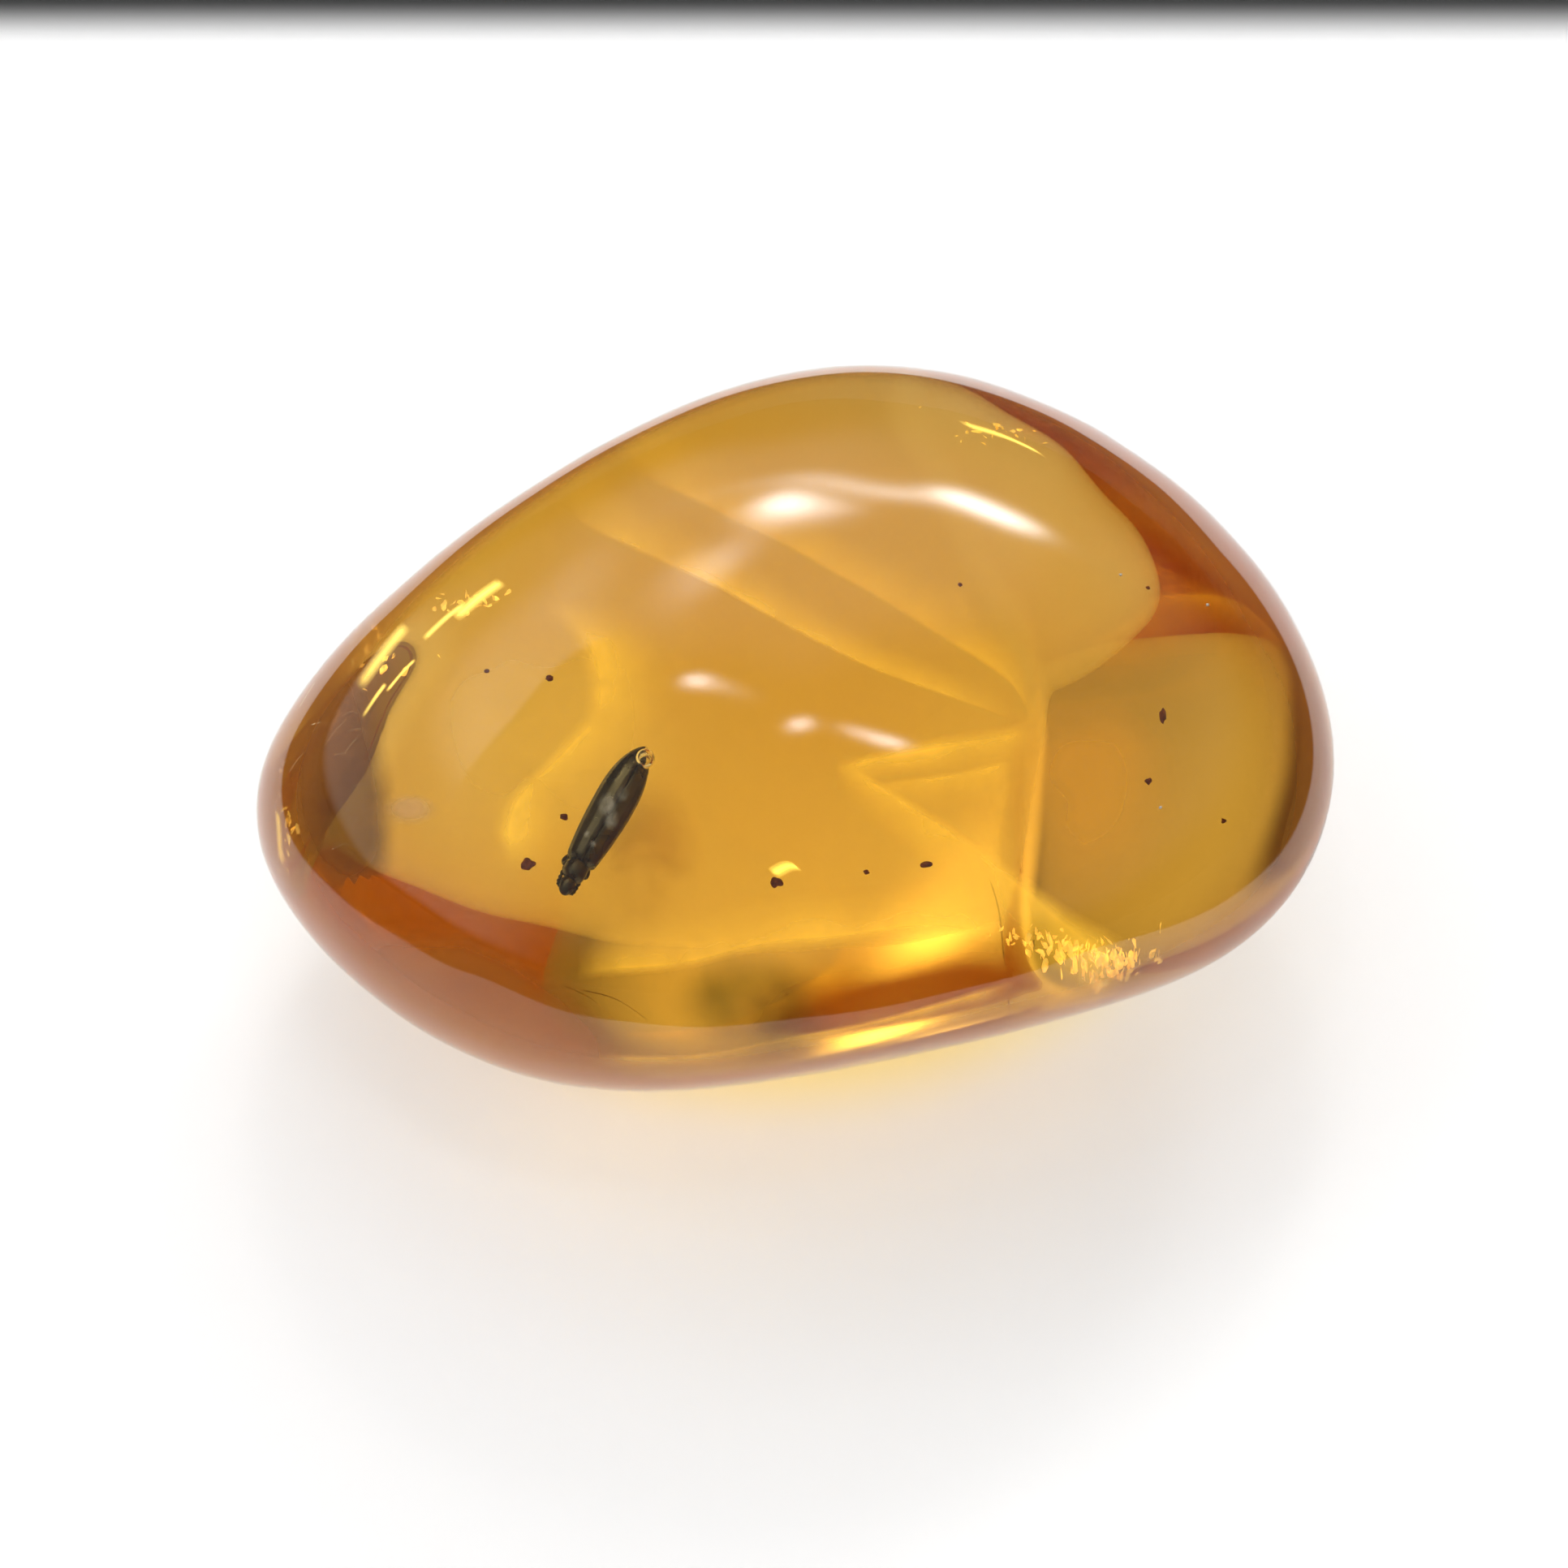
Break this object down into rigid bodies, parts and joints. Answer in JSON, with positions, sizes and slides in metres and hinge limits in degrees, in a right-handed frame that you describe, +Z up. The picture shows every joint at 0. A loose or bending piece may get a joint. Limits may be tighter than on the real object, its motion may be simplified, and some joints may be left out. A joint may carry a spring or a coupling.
{
  "type": "insect in amber",
  "caption": "Polished pebble of clear honey-yellow amber with a small dark beetle sealed inside, lying on its flat resting face.",
  "frame": {"origin": "on the resting plane, under the centre of the pebble's box", "axes": "+X along the pebble's longest extent, towards its rounder end; +Y away from the side with the two worn front flats; +Z up, along the shortest extent"},
  "size_m": [0.0276, 0.0216, 0.014],
  "materials": {
    "amber": "polished"
  },
  "bodies": {
    "root": {"amber_pebble": "amber"}
  },
  "joints": []
}
